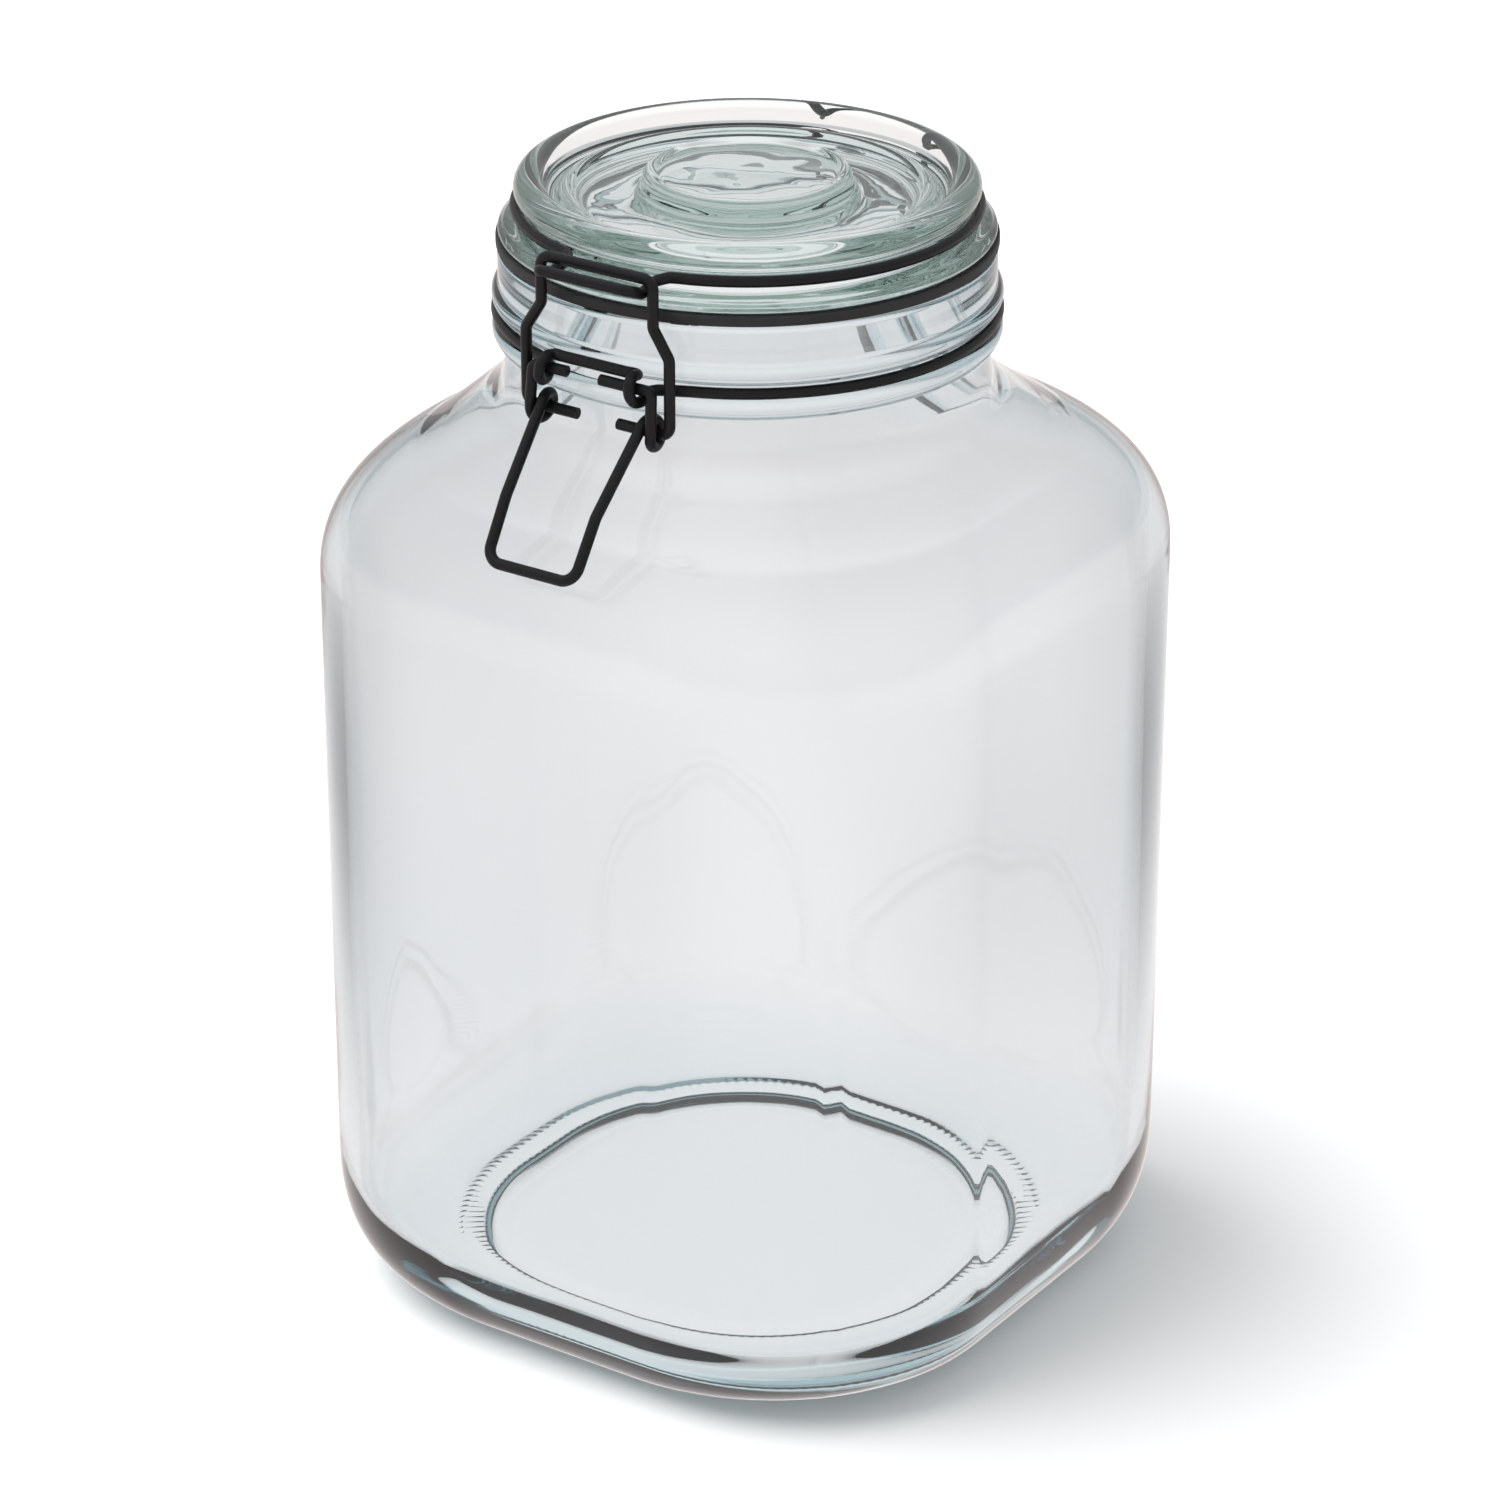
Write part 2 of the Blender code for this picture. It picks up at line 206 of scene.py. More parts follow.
# Hinge: the lid wire's rear legs, which turn in through the rear eyes.
HINGE_LEG_X = 16.0
HINGE_LEG = ((0.3, 49.4, -0.1), (0.0, 56.6, -1.2))
HINGE_DROP_Z = 244.0
HINGE_PIN_END = 8.0
HINGE_BEND = 2.2

# Glass: light is lost on its way through, so thick parts are deeper in colour. Density and
# wave_scale are per metre, and wave is the height of the waves in metres.
JAR_GLASS = {
    "surface": (0.95, 0.95, 0.955, 1),
    "absorbed": (0.44, 0.64, 0.68, 1),
    "density": 48.0,
    "wave": 0.00003,
    "wave_scale": 40,
}
LID_GLASS = {
    "surface": (0.965, 1, 1, 1),
    "absorbed": (0.25, 0.49, 0.40, 1),
    "density": 11.0,
    "wave": 0.00005,
    "wave_scale": 90,
}
GLASS_IOR = 1.5
GLASS_SHADOW = (0.30, 0.32, 0.32, 1.0)

# Satin powder coat on the wire, and dusty matte rubber.
WIRE_BLACKS = ((0, (0.003, 0.003, 0.0035, 1)), (1, (0.010, 0.010, 0.011, 1)))
WIRE_ROUGHNESS = (0.34, 0.50)
RUBBER_BLACKS = ((0, (0.010, 0.010, 0.011, 1)), (1, (0.028, 0.028, 0.029, 1)))
RUBBER_ROUGHNESS = (0.5, 0.75)

# Studio: a white card, the glow that the glass picks up of it, a key light and a grey room. The
# glow fades over GLOW_WIDTH metres beside the line of sight, and is even beyond GLOW_REACH metres.
# The key light's angles are in degrees. ROOM runs from the horizon at 0 to straight up at 1.
CARD = (0.92, 0.92, 0.92, 1)
GLOW = (1.0, 0.921, 0.912, 1)
GLOW_WIDTH = (0.08, 0.34)
GLOW_FADE = (1.20, 0.36)
GLOW_REACH = (0.28, 0.55)
GLOW_FAR = 1.02
FLOOR_HALF = 6.0
FLOOR_Z = -0.0005
KEY_TURN = -95
KEY_ELEVATION = 58
KEY_SPREAD = 56
KEY_STRENGTH = 3.2
ROOM = (
    (0.0, (0.64, 0.65, 0.66, 1)),
    (0.10, (0.55, 0.55, 0.55, 1)),
    (0.35, (0.66, 0.66, 0.66, 1)),
    (0.75, (0.82, 0.83, 0.84, 1)),
)

# Camera: the photograph's angle, to the right of the clasp and a little above. The lens is in mm.
CAMERA_AZIMUTH = 34.0
CAMERA_PITCH = 25.0
CAMERA_DISTANCE = 1.2883
AIM_HEIGHT = 0.1240
LENS = 136.3
SENSOR = 36.0
SHIFT_X = 0.00155


# ---------------------------------------------------------------- shapes


def ray_length(half, corner, angle):
    """Distance from the middle to a rounded square's edge along a ray."""
    turn = angle % (pi / 2)
    turn = min(turn, pi / 2 - turn)
    corner = min(corner, half)
    if half * sin(turn) <= (half - corner) * cos(turn):
        return half / cos(turn)
    centre = sqrt(2) * (half - corner)
    off = pi / 4 - turn
    return centre * cos(off) + sqrt(corner**2 - (centre * sin(off)) ** 2)


def section(half, corner, z, rays):
    """A rounded square at one height, with a point on each ray."""
    points = []
    for i in range(rays):
        angle = 2 * pi * i / rays
        length = ray_length(half, corner, angle)
        points.append(Vector((cos(angle) * length, sin(angle) * length, z)))
    return points


def round_sections(profile, rays):
    return [section(radius, radius, z, rays) for radius, z in profile]


def skin(name, sections, poles, sharp=60):
    """Closed surface through the sections.

    Each end closes to a tip at its pole's height. With no poles, the last section joins the first.
    """
    rays = len(sections[0])
    mesh = bpy.data.meshes.new(name)
    surface = bmesh.new()
    rings = [[surface.verts.new(point * MM) for point in ring] for ring in sections]
    pairs = list(zip(rings, rings[1:]))
    if poles is None:
        pairs.append((rings[-1], rings[0]))
    for lower, upper in pairs:
        for i in range(rays):
            j = (i + 1) % rays
            surface.faces.new((lower[i], lower[j], upper[j], upper[i]))
    for pole, ring in zip(poles or (), (rings[0], rings[-1])):
        tip = surface.verts.new(Vector((0, 0, pole)) * MM)
        for i in range(rays):
            surface.faces.new((tip, ring[i], ring[(i + 1) % rays]))
    bmesh.ops.recalc_face_normals(surface, faces=surface.faces)
    surface.to_mesh(mesh)
    surface.free()
    mesh.shade_smooth()
    mesh.set_sharp_from_angle(angle=radians(sharp))
    obj = bpy.data.objects.new(name, mesh)
    bpy.context.scene.collection.objects.link(obj)
    return obj


def arc(centre, radius, start, end, steps):
    """Points (r, z) on an arc. Angles are in degrees, from outwards over the top."""
    turns = [radians(start + (end - start) * i / steps) for i in range(steps + 1)]
    return [(centre[0] + radius * cos(t), centre[1] + radius * sin(t)) for t in turns]


def smooth(profile, rounds):
    """Chaikin corner cutting on an open profile: each round replaces a corner with two points."""
    for _ in range(rounds):
        cut = [profile[0]]
        for a, b in zip(profile, profile[1:]):
            cut.append(tuple(p * 0.75 + q * 0.25 for p, q in zip(a, b)))
            cut.append(tuple(p * 0.25 + q * 0.75 for p, q in zip(a, b)))
        cut.append(profile[-1])
        profile = cut
    return profile


# ---------------------------------------------------------------- glass body


def shoulder_curve(inset, steps):
    """(half, z) up the shoulder: a quadratic curve off the wall, then a straight slope."""
    curve = []
    for i in range(steps + 1):
        t = i / steps
        weights = ((1 - t) ** 2, 2 * t * (1 - t), t**2)
        corners = ((BODY_HALF, SHOULDER_START), SHOULDER_TURN, SHOULDER_BREAK)
        curve.append(tuple(sum(w * p[k] for w, p in zip(weights, corners)) for k in (0, 1)))
    for i in range(1, SLOPE_STEPS + 1):
        share = i / SLOPE_STEPS
        curve.append(tuple(a + (b - a) * share for a, b in zip(SHOULDER_BREAK, SHOULDER_END)))
    return [offset(curve, i, inset) for i in range(len(curve))]


def offset(curve, i, inset):
    """A point of the curve, moved inwards at right angles to it."""
    before = curve[max(i - 1, 0)]
    after = curve[min(i + 1, len(curve) - 1)]
    along = (after[0] - before[0], after[1] - before[1])
    size = hypot(*along)
    return curve[i][0] - inset * along[1] / size, curve[i][1] + inset * along[0] / size


def shoulder_corner(half):
    """The corner radius grows to the half width, so that the section ends as a circle."""
    share = min(max((BODY_HALF - half) / (BODY_HALF - SHOULDER_END[0]), 0), 1)
    return BODY_CORNER + (half - BODY_CORNER) * share**ROUNDING_POWER


def heel(half, corner, foot_half, foot_corner, bottom, height, steps, power):
    """Quarter superellipse from the foot outline up to the wall. A higher power is squarer."""
    sections = []
    for i in range(steps + 1):
        turn = pi / 2 * i / steps
        out = sin(turn) ** (2 / power)
        sections.append(
            (
                foot_half + (half - foot_half) * out,
                foot_corner + (corner - foot_corner) * out,
                bottom + height * (1 - max(cos(turn), 0) ** (2 / power)),
            )
        )
    return sections


def wall(half, corner, bottom, top, steps):
    """Outlines up a straight wall, without its two ends."""
    return [(half, corner, bottom + (top - bottom) * i / steps) for i in range(1, steps)]


def finish_profile():
    """(r, z) up the neck, round both beads and onto the lip."""
    flare_out, flare_down = NECK_FLARE
    profile = [(NECK_RADIUS + flare_out, NECK_LOW - flare_down), (NECK_RADIUS, NECK_LOW)]
    profile += arc((BEAD_MAJOR, LOWER_BEAD_Z), BEAD_MINOR, -90, GROOVE_TURN, 16)
    profile += arc((BEAD_MAJOR, UPPER_BEAD_Z), BEAD_MINOR, -GROOVE_TURN, BEAD_END_TURN, 16)
    profile.append((LIP_RADIUS, UPPER_BEAD_Z + BEAD_MINOR + LIP_STEP))
    return profile + arc((LIP_RADIUS - LIP_ROUND, LIP_TOP - LIP_ROUND), LIP_ROUND, 0, 90, 8)


def outer_glass():
    """Sections of the outside, from the middle of the base up to the lip."""
    flat = BASE_HALF - BEARING_WIDTH
    flat_corner = BASE_CORNER - BEARING_WIDTH
    punt = [PUNT_RUN + PUNT_STEP * i for i in (5, 3, 1, 0)]
    outlines = [(flat - inset, flat_corner - inset, PUNT_DEPTH) for inset in punt]
    outlines.append((flat - BEARING_EASE, flat_corner - BEARING_EASE, PUNT_DEPTH * PUNT_BREAK))
    knurled = (len(outlines) + 1, len(outlines) + 2)
    bearing = (0, KNURL_START, BEARING_WIDTH - BEARING_EASE)
    outlines += [(flat + out, flat_corner + out, 0) for out in bearing]
    foot = len(outlines)
    outlines += heel(
        BODY_HALF, BODY_CORNER, BASE_HALF, BASE_CORNER, 0, HEEL_HEIGHT, 28, HEEL_POWER
    )
    outlines += wall(BODY_HALF, BODY_CORNER, HEEL_HEIGHT, SHOULDER_START, 24)
    outlines += [(half, shoulder_corner(half), z) for half, z in shoulder_curve(0, 18)]
    sections = [section(half, corner, z, BODY_RAYS) for half, corner, z in outlines]
    for row in knurled:
        for point in sections[row][::2]:
            point.z += KNURL_DEPTH
    for ring in sections[foot + 1 :]:
        for angle in SEAM_ANGLES:
            point = ring[round(BODY_RAYS * angle / 360)]
            point += Vector((point.x, point.y, 0)).normalized() * SEAM_HEIGHT
    return sections + round_sections(finish_profile(), BODY_RAYS)


def wobble(sections):
    """Moves each point along its ray by a slow noise, and further near the heel."""
    for ring in sections:
        for point in ring:
            away = Vector((point.x, point.y, 0))
            above_heel = point.z - HEEL_HEIGHT
            near_heel = min(max((HEEL_WOBBLE_REACH - above_heel) / (2 * HEEL_WOBBLE_REACH), 0), 1)
            drift = noise.noise(Vector((point.x, point.y, point.z * 0.5)) / WOBBLE_SIZE)
            heel_noise = noise.noise(Vector((point.x, point.y, 5.0)) / HEEL_WOBBLE_SIZE)
            drift += HEEL_WOBBLE * near_heel * heel_noise
            point += away.normalized() * drift * WOBBLE_DEPTH
    return sections


def inner_glass():
    """Sections of the inside, from the lip down to the middle of the floor."""
    profile = arc((MOUTH_RADIUS + LIP_ROUND, LIP_TOP - LIP_ROUND), LIP_ROUND, 90, 180, 8)
    profile += [(MOUTH_RADIUS, LIP_TOP - MOUTH_DEPTH), (NECK_RADIUS - WALL, NECK_LOW - 1)]
    outlines = [
        (half, shoulder_corner(half + WALL) - WALL, z)
        for half, z in reversed(shoulder_curve(WALL, 14))
    ]
    half = BODY_HALF - WALL
    corner = BODY_CORNER - WALL
    outlines += wall(half, corner, FLOOR_TOP + INNER_HEEL, SHOULDER_START, 28)[::-1]
    foot_half = BASE_HALF - INNER_FOOT
    foot_corner = BASE_CORNER - INNER_FOOT
    outlines += heel(
        half, corner, foot_half, foot_corner, FLOOR_TOP, INNER_HEEL, 24, INNER_HEEL_POWER
    )[::-1]
    half_step, corner_step = FLOOR_STEP
    outlines += [
        (foot_half - half_step * i, foot_corner - corner_step * i, FLOOR_TOP) for i in (1, 2, 4, 6)
    ]
    cavity = [section(half, corner, z, BODY_RAYS) for half, corner, z in outlines]
    return round_sections(profile, BODY_RAYS) + wobble(cavity)


def build_jar(material):
    jar = skin("glass_body", outer_glass() + inner_glass(), (PUNT_DEPTH, FLOOR_TOP))
    finish_piece(jar, "jar_body", "jar", material)


# ---------------------------------------------------------------- lid and gasket


def lid_profile():
    """(r, z) from the middle of the underside out and up to the middle of the top."""
    under = smooth(
        [
            (12, RECESS_Z),
            (RECESS_RADIUS - 4, RECESS_Z),
            (RECESS_RADIUS - 0.5, RECESS_Z - 0.6),
            (RECESS_RADIUS + 0.6, RECESS_Z - 4),
            (RECESS_RADIUS + 1, PLUG_BOTTOM + 0.2),
            (PLUG_RADIUS - 0.6, PLUG_BOTTOM),
            (PLUG_RADIUS + 0.4, PLUG_BOTTOM + 1),
            (PLUG_TOP_RADIUS, FLANGE_BOTTOM - GAP),
        ],
        2,
    )
    under.append((PLUG_TOP_RADIUS + 0.4, FLANGE_BOTTOM))
    flange_edge = (FLANGE_RADIUS - FLANGE_ROUND, FLANGE_BOTTOM + FLANGE_ROUND)
    flange = arc(flange_edge, FLANGE_ROUND, -90, 45, 8)
    flange += smooth(
        [
            (FLANGE_RADIUS - 0.8, FLANGE_BOTTOM + 2.0),
            (FLANGE_RADIUS - 1.6, FLANGE_BOTTOM + 2.9),
            (FLANGE_RADIUS - 4.2, FLANGE_BOTTOM + 3.7),
            (LID_NECK_RADIUS, FLANGE_BOTTOM + 4.5),
            (LID_NECK_RADIUS, RIM_Z - RIM_MINOR),
        ],
        2,
    )
    rim = arc((RIM_MAJOR, RIM_Z), RIM_MINOR, *RIM_TURNS, 28)
    top = smooth(
        [
            (RIM_MAJOR - RIM_MINOR - 0.3, RIM_Z + 0.2),
            (VALLEY_RADIUS + 0.6, VALLEY_Z + 0.4),
            (VALLEY_RADIUS - 0.8, VALLEY_Z),
            (RIDGE_RADIUS + 0.9, RIDGE_Z),
            (RIDGE_RADIUS - 0.9, RIDGE_Z),
            (RIDGE_RADIUS - 2.6, DISH_Z),
            (30, DISH_Z - 0.2),
            (BOSS_RADIUS + 3, DISH_Z),
            (BOSS_RADIUS + 0.6, DISH_Z + 0.6),
            (BOSS_RADIUS, BOSS_Z - 1.6),
            (BOSS_RADIUS - 0.8, BOSS_Z),
            (BOSS_RADIUS - 2.6, BOSS_Z),
            (BOSS_RADIUS - 4.5, BOSS_Z - 1.0),
            (12, BOSS_Z - BOSS_HOLLOW),
            (5, BOSS_Z - BOSS_HOLLOW),
        ],
        3,
    )
    return under + flange + rim + top


def build_lid(material):
    sections = round_sections(lid_profile(), LID_RAYS)
    lid = skin("glass_lid", sections, (RECESS_Z, BOSS_Z - BOSS_HOLLOW), sharp=75)
    for vertex in lid.data.vertices:
        spot = vertex.co / MM
        radius = hypot(spot.x, spot.y)
        if spot.z > DISH_Z - 1 and radius < BOSS_RADIUS - BOSS_WALL:
            vertex.co.z += BOSS_RIPPLE * noise.noise(spot / BOSS_RIPPLE_SIZE) * MM
        if spot.z < RECESS_Z + 1 and radius < RECESS_RADIUS:
            place = spot / RECESS_RIPPLE_SIZE + RECESS_RIPPLE_SEED
            vertex.co.z += RECESS_RIPPLE * noise.noise(place) * MM
    finish_piece(lid, "lid", "lid_assembly", material)


def build_gasket(material):
    """A flat ring with its four edges eased."""
    inner = GASKET_INNER + GASKET_EASE
    outer = high("gasket", 0) - GASKET_EASE
    bottom = low("gasket", 2) + GASKET_EASE
    top = high("gasket", 2) - GASKET_EASE
    profile = []
    for i, corner in enumerate(((outer, bottom), (outer, top), (inner, top), (inner, bottom))):
        profile += arc(corner, GASKET_EASE, 90 * i - 90, 90 * i, 5)
    ring = skin("rubber_gasket", round_sections(profile, LID_RAYS), None)
    finish_piece(ring, "gasket", "lid_assembly", material)


def finish_piece(piece, node, body, material):
    """Gives a piece its material, hides the CAD part that it stands in for, and puts it on its
    body.
    """
    piece.data.materials.clear()
    piece.data.materials.append(material)
    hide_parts(node)
    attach(piece, body)


# ---------------------------------------------------------------- wires


def fillet(points, radius, steps=10):
    """Rounds each inner corner of a polyline with an arc of at most the given radius.

    An arc takes at most FILLET_SHARE of the shorter side, so that two arcs on one side stay apart.
    """
    line = [Vector(point) for point in points]
    rounded = [line[0]]
    for before, corner, after in zip(line, line[1:], line[2:]):
        back = (before - corner).normalized()
        ahead = (after - corner).normalized()
        half_turn = back.angle(ahead) / 2
        cut = radius * cos(half_turn) / sin(half_turn)
        room = min((before - corner).length, (after - corner).length)
        cut = min(cut, FILLET_SHARE * room)
        size = cut * sin(half_turn) / cos(half_turn)
        centre = corner + (back + ahead).normalized() * hypot(cut, size)
        first = (corner + back * cut - centre).normalized()
        last = (corner + ahead * cut - centre).normalized()
        rounded += [centre + first.slerp(last, i / steps) * size for i in range(steps + 1)]
    rounded.append(line[-1])
    return rounded


def coil(centre, x_start, x_end, start, end, steps):
    """Turns round an axis along X. Angles are in degrees, from the +Y side over the top."""
    points = []
    for i in range(steps + 1):
        share = i / steps
        turn = radians(start + (end - start) * share)
        x = x_start + (x_end - x_start) * share
        y = centre[0] + EYE_RADIUS * cos(turn)
        points.append(Vector((x, y, centre[1] + EYE_RADIUS * sin(turn))))
    return points


def on_circle(radius, z, start, end):
    """Points on a horizontal circle between two angles, in degrees from the clasp side."""
    steps = round((end - start) / WIRE_STEP)
    angles = [radians(start + (end - start) * i / steps - 90) for i in range(steps + 1)]
    return [Vector((radius * cos(a), radius * sin(a), z)) for a in angles]


def mirrored(points, x=1, y=1):
    return [Vector((point.x * x, point.y * y, point.z)) for point in points]


def wire_object(name, points, node, body, material, cyclic=False):
    """A round wire along the points."""
    curve = bpy.data.curves.new(name, "CURVE")
    curve.dimensions = "3D"
    curve.twist_mode = "MINIMUM"
    curve.bevel_depth = WIRE / 2 * MM
    curve.bevel_resolution = 6
    curve.use_fill_caps = not cyclic
    spline = curve.splines.new("POLY")
    spline.points.add(len(points) - 1)
    for target, point in zip(spline.points, points):
        target.co = (*(point * MM), 1)
    spline.use_cyclic_u = cyclic
    spline.use_smooth = True
    piece = bpy.data.objects.new(name, curve)
    bpy.context.scene.collection.objects.link(piece)
    finish_piece(piece, node, body, material)


def spline_through(points, steps):
    """A smooth curve through every point (Catmull-Rom), with steps between neighbours."""
    ends = [points[0] * 2 - points[1], *points, points[-1] * 2 - points[-2]]
    curve = []
    for a, b, c, d in zip(ends, ends[1:], ends[2:], ends[3:]):
        for i in range(steps):
            t = i / steps
            linear = (c - a) * t
            square = (a * 2 - b * 5 + c * 4 - d) * t**2
            cube = (b * 3 - a - c * 3 + d) * t**3
            curve.append(0.5 * (b * 2 + linear + square + cube))
    curve.append(points[-1])
    return curve


def eye_quarter():
    """A quarter of the neck wire, from the middle of the bridge through an eye to the side."""
    bridge_y = BRIDGE[0] - PIVOT_Y
    bridge_z = BRIDGE[1] + PIVOT_Z
    bridge = [Vector((0, bridge_y, bridge_z))]
    bridge += [Vector((EYE_X + x, bridge_y + y, bridge_z)) for x, y in BRIDGE_ENDS]
    half_advance = EYE_ADVANCE / 2
    eye = coil((-PIVOT_Y, PIVOT_Z), EYE_X - half_advance, EYE_X + half_advance, *EYE_TURNS, 30)
    leave = [Vector((EYE_X + x, y, NECK_WIRE_Z + z)) for x, y, z in EYE_EXIT]
    ring = on_circle(NECK_WIRE_RADIUS, NECK_WIRE_Z, RING_START, 90)
    return spline_through(bridge + eye[::5] + leave + ring[:2], 8) + ring[2:]


def build_neck_wire(material):
    quarter = eye_quarter()
    right = quarter + mirrored(quarter, y=-1)[-2::-1]
    loop = right + mirrored(right, x=-1)[-2:0:-1]
    wire_object("wire_neck", loop, "neck_wire", "jar", material, cyclic=True)


def build_lid_wire(material):
    """The catch at the front, the ring round the lid, and the legs and pins at the rear."""
    bar = [(0, *CATCH_BAR), (CATCH_X, *CATCH_BAR), (CATCH_X, *CATCH_DIP)]
    root = [(CATCH_X + x, y, LID_WIRE_Z + z) for x, y, z in CATCH_ROOT]
    catch = fillet(bar + root, CATCH_BEND)
    ring = on_circle(LID_WIRE_RADIUS, LID_WIRE_Z, RING_START, 180 - RING_START)
    drop = [(HINGE_LEG_X + x, y, LID_WIRE_Z + z) for x, y, z in HINGE_LEG]
    drop.append((HINGE_LEG_X, PIVOT_Y, HINGE_DROP_Z))
    pin = [(HINGE_LEG_X, PIVOT_Y, PIVOT_Z), (HINGE_PIN_END, PIVOT_Y, PIVOT_Z)]
    leg = fillet([ring[-1], *drop, *pin], HINGE_BEND)
    half = catch + ring + leg[1:]
    points = mirrored(half, x=-1)[:0:-1] + half
    wire_object("wire_lid", points, "lid_wire", "lid_assembly", material)


def lever_half(pin_end):
    """Half of the lever on the +X side, from the pin's end to the end of the loop's side."""
    pin = [(pin_end, -PIVOT_Y, PIVOT_Z), (LINK_X, -PIVOT_Y, PIVOT_Z)]
    link = fillet([*pin, (COIL_OUTER_X, *LINK_LOW)], LINK_BEND)
    turns = coil(CRANK, COIL_OUTER_X, COIL_INNER_X, *COIL_TURNS, 40)
    return link + turns + [Vector(LOOP_BEND), Vector(LOOP_END)]


def build_lever(material):
    """Two halves, joined by the finger loop between the last points of their coils."""
    left_pin, right_pin = LEVER_PIN_ENDS
    left = mirrored(lever_half(-left_pin), x=-1)
    right = lever_half(right_pin)[::-1]
    loop = fillet(left[-3:] + right[:3], LOOP_BEND_RADIUS, 12)
    wire_object("wire_lever", left[:-3] + loop + right[3:], "lever", "lever", material)


def build_yoke(material):
    step_low, step_high = YOKE_STEP
    half = [
        (0, *YOKE_TOP),
        (YOKE_TOP_X, *YOKE_TOP),
        (YOKE_TOP_X, YOKE_TOP[0], step_high),
        (YOKE_LOW_X, CRANK[0], step_low),
        (YOKE_LOW_X, *CRANK),
        (YOKE_PIN_END, *CRANK),
    ]
    right = fillet(half, YOKE_BEND)
    points = mirrored(right, x=-1)[:0:-1] + right[1:]
    wire_object("wire_yoke", points, "yoke", "yoke", material)


# ---------------------------------------------------------------- materials


def new_material(name):
    material = bpy.data.materials.new(name)
    material.use_nodes = True
    tree = material.node_tree
    return material, tree, tree.nodes["Principled BSDF"], tree.nodes["Material Output"]


def add(tree, kind, inputs=None, **settings):
    """A new node with the given settings, and values on the named inputs."""
    node = tree.nodes.new(kind)
    for key, value in settings.items():
        setattr(node, key, value)
    set_inputs(node, inputs or {})
    return node


def set_inputs(node, values):
    for key, value in values.items():
        node.inputs[key].default_value = value


def noise_texture(tree, place, scale, detail):
    texture = add(tree, "ShaderNodeTexNoise", {"Scale": scale, "Detail": detail})
    tree.links.new(place.outputs["Object"], texture.inputs["Vector"])
    return texture.outputs["Fac"]


def noise_bump(tree, shader, scale, distance, detail, strength=1.0):
    """Bumps a shader with noise in object space. Scale is per metre and distance is in metres."""
    place = add(tree, "ShaderNodeTexCoord")
    height = noise_texture(tree, place, scale, detail)
    bump = add(tree, "ShaderNodeBump", {"Strength": strength, "Distance": distance})
    tree.links.new(height, bump.inputs["Height"])
    tree.links.new(bump.outputs["Normal"], shader.inputs["Normal"])
    return place, height


def map_range(tree, value, start, end, **settings):
    """Maps a value from one (low, high) range to another."""
    ranges = {"From Min": start[0], "From Max": start[1], "To Min": end[0], "To Max": end[1]}
    node = add(tree, "ShaderNodeMapRange", ranges, **settings)
    tree.links.new(value, node.inputs["Value"])
    return node.outputs[0]


def colour_ramp(tree, value, stops):
    """Colours a value by (position, colour) stops."""
    node = add(tree, "ShaderNodeValToRGB")
    elements = node.color_ramp.elements
    for element, (position, colour) in zip(elements, (stops[0], stops[-1])):
        element.position = position
        element.color = colour
    for position, colour in stops[1:-1]:
        elements.new(position).color = colour
    tree.links.new(value, node.inputs["Fac"])
    return node.outputs[0]


def mix_by_ray(tree, ray, others, chosen, output):
    """Sends one shader to the chosen kind of ray and another to the rest."""
    path = add(tree, "ShaderNodeLightPath")
    mix = add(tree, "ShaderNodeMixShader")
    tree.links.new(path.outputs[ray], mix.inputs[0])
    tree.links.new(others.outputs[0], mix.inputs[1])
    tree.links.new(chosen.outputs[0], mix.inputs[2])
    tree.links.new(mix.outputs[0], output.inputs["Surface"])


def glass_material(name, surface, absorbed, density, wave, wave_scale):
    """Clear glass with a coloured body, slow waves in its surface and a light shadow."""
    material, tree, shader, output = new_material(name)
    set_inputs(
        shader,
        {"Base Color": surface, "Roughness": 0.0, "IOR": GLASS_IOR, "Transmission Weight": 1.0},
    )
    noise_bump(tree, shader, wave_scale, wave, 2.0)
    clear = add(tree, "ShaderNodeBsdfTransparent", {"Color": GLASS_SHADOW})
    mix_by_ray(tree, "Is Shadow Ray", shader, clear, output)
    volume = add(tree, "ShaderNodeVolumeAbsorption", {"Color": absorbed, "Density": density})
    tree.links.new(volume.outputs[0], output.inputs["Volume"])
    return material


def wire_material():
    """Satin black powder coat: a faint orange peel and slightly uneven gloss."""
    material, tree, shader, _ = new_material("satin_black_wire")
    set_inputs(shader, {"Specular IOR Level": 0.22})
    place, peel = noise_bump(tree, shader, 1400, 0.00012, 4.0, strength=0.35)
    patches = noise_texture(tree, place, 240.0, 3.0)
    gloss = map_range(tree, patches, (0, 1), WIRE_ROUGHNESS)
    black = colour_ramp(tree, peel, WIRE_BLACKS)
    tree.links.new(gloss, shader.inputs["Roughness"])
    tree.links.new(black, shader.inputs["Base Color"])
    return material


def rubber_material():
    """Matte black rubber with a dusty bloom and fine moulding grain."""
    material, tree, shader, _ = new_material("matte_black_rubber")
    set_inputs(shader, {"Specular IOR Level": 0.35})
    place, grain = noise_bump(tree, shader, 2200, 0.0001, 5.0, strength=0.5)
    bloom = noise_texture(tree, place, 160.0, 4.0)
    black = colour_ramp(tree, bloom, RUBBER_BLACKS)
    dull = map_range(tree, grain, (0, 1), RUBBER_ROUGHNESS)
    tree.links.new(black, shader.inputs["Base Color"])
    tree.links.new(dull, shader.inputs["Roughness"])
    return material


# ---------------------------------------------------------------- studio


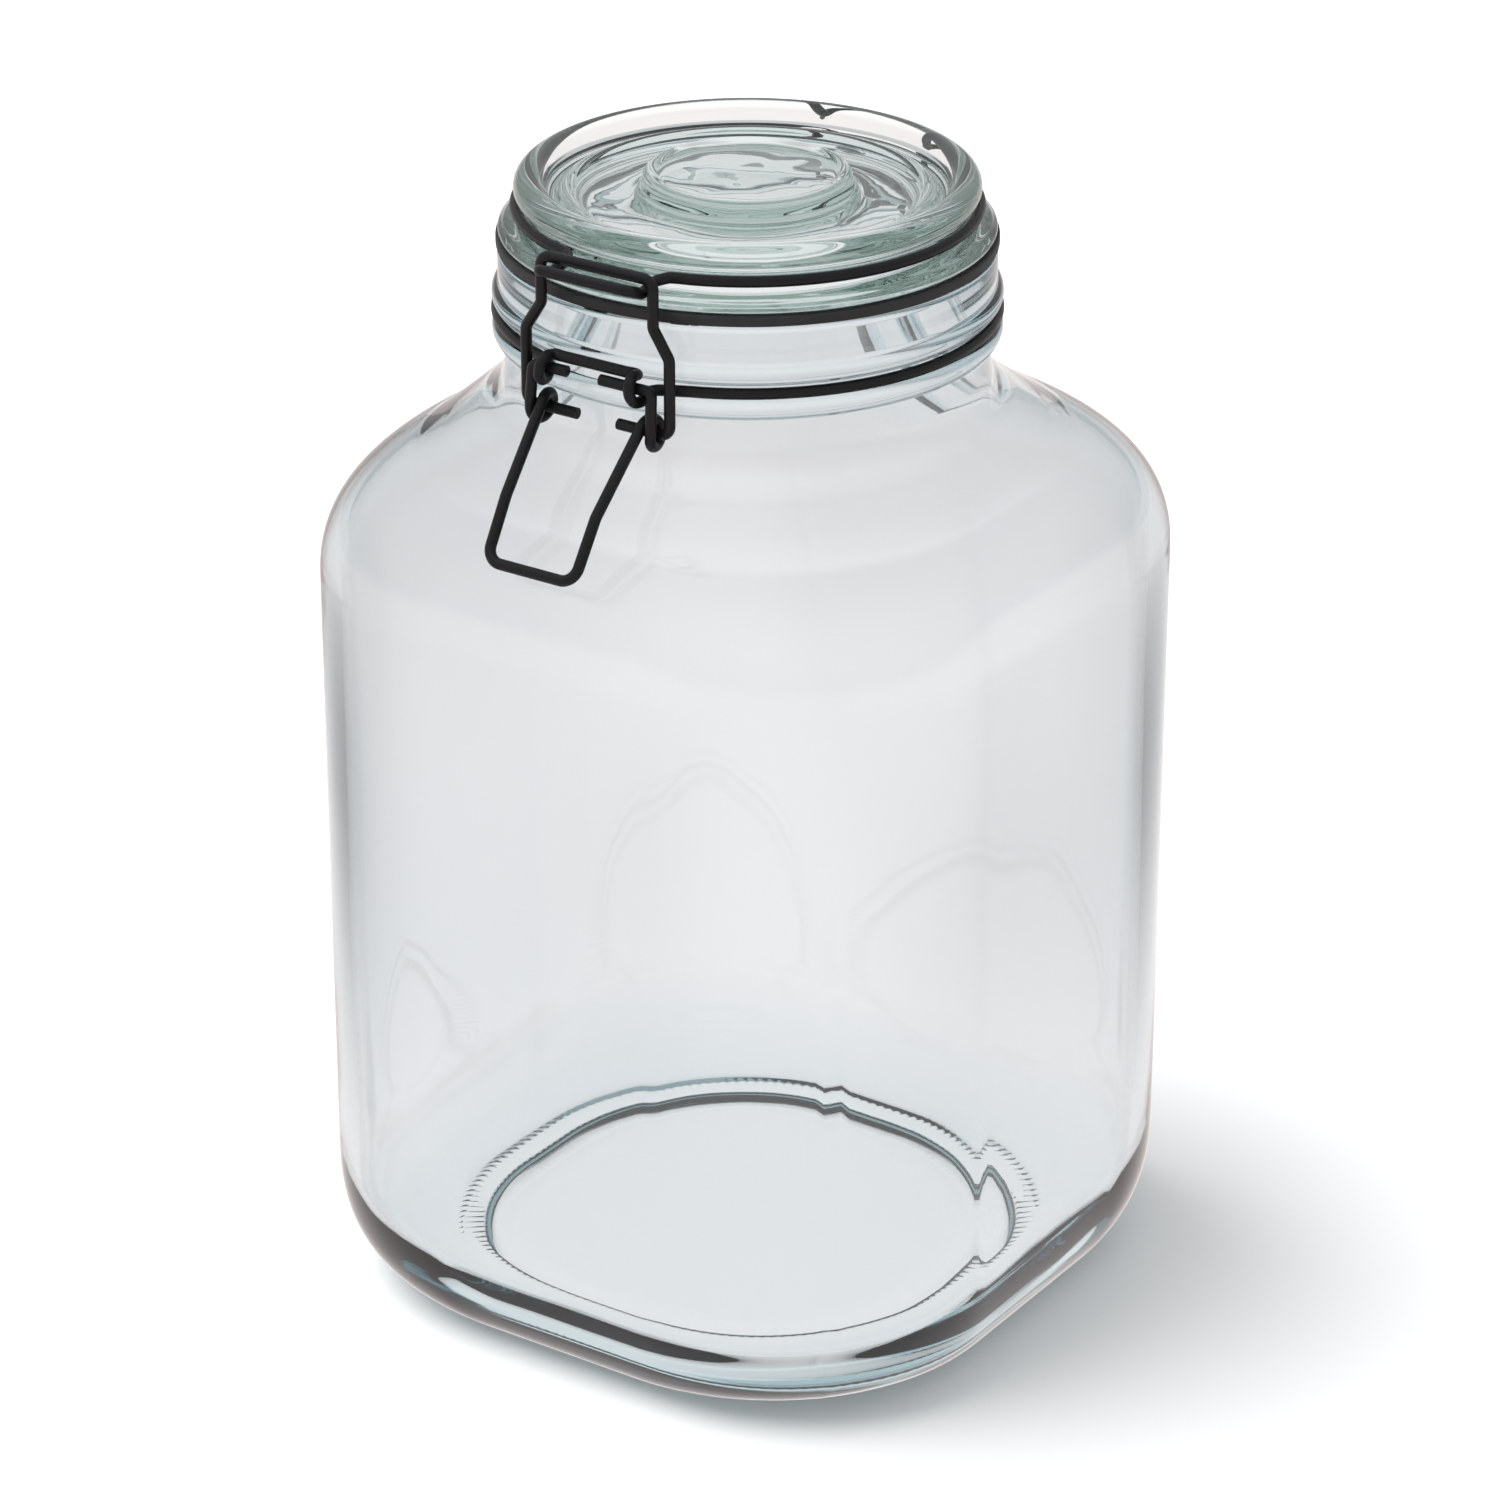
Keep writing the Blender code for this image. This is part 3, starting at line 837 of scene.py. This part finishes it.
def glow_strength(tree):
    """Brightest along the photograph's line of sight, lower beside it, and even further out."""
    place = add(tree, "ShaderNodeTexCoord").outputs["Object"]
    turn = add(tree, "ShaderNodeMapping", {"Rotation": (0, 0, radians(-CAMERA_AZIMUTH))})
    split = add(tree, "ShaderNodeSeparateXYZ")
    aside = add(tree, "ShaderNodeMath", operation="ABSOLUTE")
    away = add(tree, "ShaderNodeVectorMath", operation="LENGTH")
    tree.links.new(place, turn.inputs["Vector"])
    tree.links.new(turn.outputs[0], split.inputs[0])
    tree.links.new(split.outputs["X"], aside.inputs[0])
    tree.links.new(place, away.inputs[0])
    smoothly = {"interpolation_type": "SMOOTHSTEP"}
    near = map_range(tree, aside.outputs[0], GLOW_WIDTH, GLOW_FADE, **smoothly)
    share = map_range(tree, away.outputs["Value"], GLOW_REACH, (0, 1), **smoothly)
    both = add(tree, "ShaderNodeMix", {"B": GLOW_FAR}, data_type="FLOAT")
    tree.links.new(share, both.inputs["Factor"])
    tree.links.new(near, both.inputs["A"])
    return both.outputs[0]


def floor_material():
    """The camera sees white card with a shadow. Glass and paint pick up a steady glow instead."""
    material, tree, card, output = new_material("pale_floor")
    set_inputs(card, {"Base Color": CARD, "Roughness": 0.9})
    glow = add(tree, "ShaderNodeEmission", {"Color": GLOW})
    tree.links.new(glow_strength(tree), glow.inputs["Strength"])
    mix_by_ray(tree, "Is Camera Ray", glow, card, output)
    return material


def build_floor():
    mesh = bpy.data.meshes.new("floor")
    signs = ((-1, -1), (1, -1), (1, 1), (-1, 1))
    corners = [(FLOOR_HALF * x, FLOOR_HALF * y, 0) for x, y in signs]
    mesh.from_pydata(corners, [], [(0, 1, 2, 3)])
    floor = bpy.data.objects.new("floor", mesh)
    bpy.context.scene.collection.objects.link(floor)
    mesh.materials.append(floor_material())
    floor.location.z = FLOOR_Z


def direction(azimuth, elevation):
    """Unit vector at an azimuth from the clasp side towards +X, and an elevation, in degrees."""
    a, e = radians(azimuth), radians(elevation)
    return Vector((sin(a) * cos(e), -cos(a) * cos(e), sin(e)))


def build_key_light():
    """A broad far light. It isn't reflected, so the glass shows no disc."""
    light = bpy.data.lights.new("key", "SUN")
    light.angle = radians(KEY_SPREAD)
    light.energy = KEY_STRENGTH
    lamp = bpy.data.objects.new("key", light)
    away = direction(CAMERA_AZIMUTH + KEY_TURN, KEY_ELEVATION)
    lamp.rotation_euler = away.to_track_quat("Z", "Y").to_euler()
    lamp.visible_glossy = False
    lamp.visible_transmission = False
    bpy.context.scene.collection.objects.link(lamp)


def build_world():
    """White where the camera looks past the jar, and a banded grey room for glass and paint."""
    world = bpy.data.worlds.new("studio")
    bpy.context.scene.world = world
    world.use_nodes = True
    tree = world.node_tree
    plain = tree.nodes["Background"]
    set_inputs(plain, {"Color": (1, 1, 1, 1), "Strength": 1.0})
    place = add(tree, "ShaderNodeTexCoord")
    split = add(tree, "ShaderNodeSeparateXYZ")
    tree.links.new(place.outputs["Generated"], split.inputs[0])
    room = add(tree, "ShaderNodeBackground")
    tree.links.new(colour_ramp(tree, split.outputs["Z"], ROOM), room.inputs["Color"])
    mix_by_ray(tree, "Is Camera Ray", room, plain, tree.nodes["World Output"])


def build_camera():
    camera = bpy.data.objects.new("camera", bpy.data.cameras.new("camera"))
    camera.data.lens = LENS
    camera.data.sensor_width = SENSOR
    camera.data.shift_x = SHIFT_X
    away = direction(CAMERA_AZIMUTH, CAMERA_PITCH)
    camera.location = away * CAMERA_DISTANCE + Vector((0, 0, AIM_HEIGHT))
    camera.rotation_euler = away.to_track_quat("Z", "Y").to_euler()
    bpy.context.scene.collection.objects.link(camera)
    bpy.context.scene.camera = camera


def set_light_paths():
    """Enough bounces to cross both walls of the jar and the lid, and plain display colours."""
    scene = bpy.context.scene
    scene.cycles.max_bounces = 24
    scene.cycles.glossy_bounces = 16
    scene.cycles.transmission_bounces = 20
    scene.view_settings.view_transform = "Standard"


def build():
    build_camera()
    build_floor()
    build_world()
    build_key_light()
    set_light_paths()
    wire = wire_material()
    build_jar(glass_material("jar_glass", **JAR_GLASS))
    build_lid(glass_material("lid_glass", **LID_GLASS))
    build_gasket(rubber_material())
    build_neck_wire(wire)
    build_lid_wire(wire)
    build_lever(wire)
    build_yoke(wire)


build()
